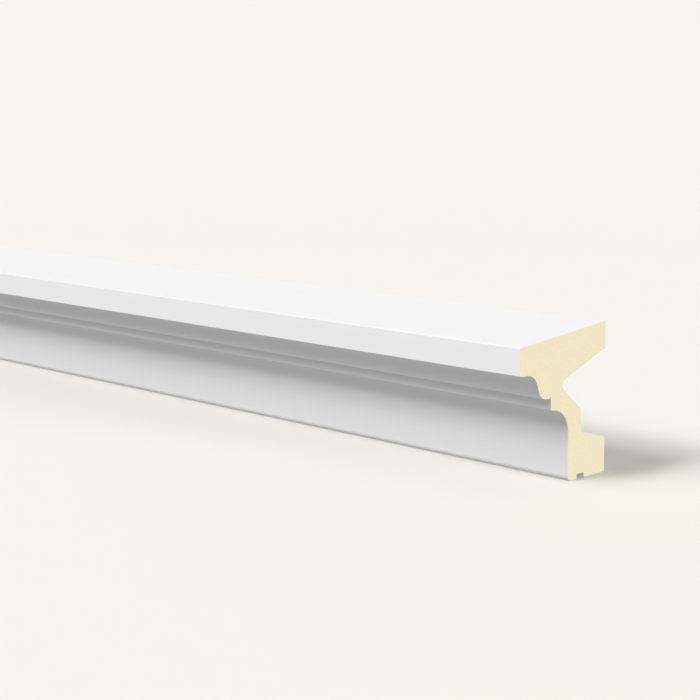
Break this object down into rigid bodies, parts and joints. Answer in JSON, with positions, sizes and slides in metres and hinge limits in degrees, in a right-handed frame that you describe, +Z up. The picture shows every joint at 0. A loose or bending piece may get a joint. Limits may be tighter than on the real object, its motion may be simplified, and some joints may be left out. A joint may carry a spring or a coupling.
{
  "type": "window sill moulding",
  "caption": "Length of facade window sill moulding in coated rigid foam: sloping slab, fascia, ogee, fillet, cavetto and apron with a drip groove, and a hollow back that beds on the wall.",
  "frame": {"origin": "centre of the foot's wall strip, the lower of the two flat strips that bed on the wall, halfway along the moulding", "axes": "+X along the moulding, +Y into the wall, +Z up"},
  "size_m": [1, 0.12, 0.1339],
  "materials": {
    "coated_foam": "matte white coat on rigid polyurethane foam, bare cream foam on the two cut ends"
  },
  "bodies": {
    "root": {"sill_moulding": "coated_foam"}
  },
  "joints": []
}
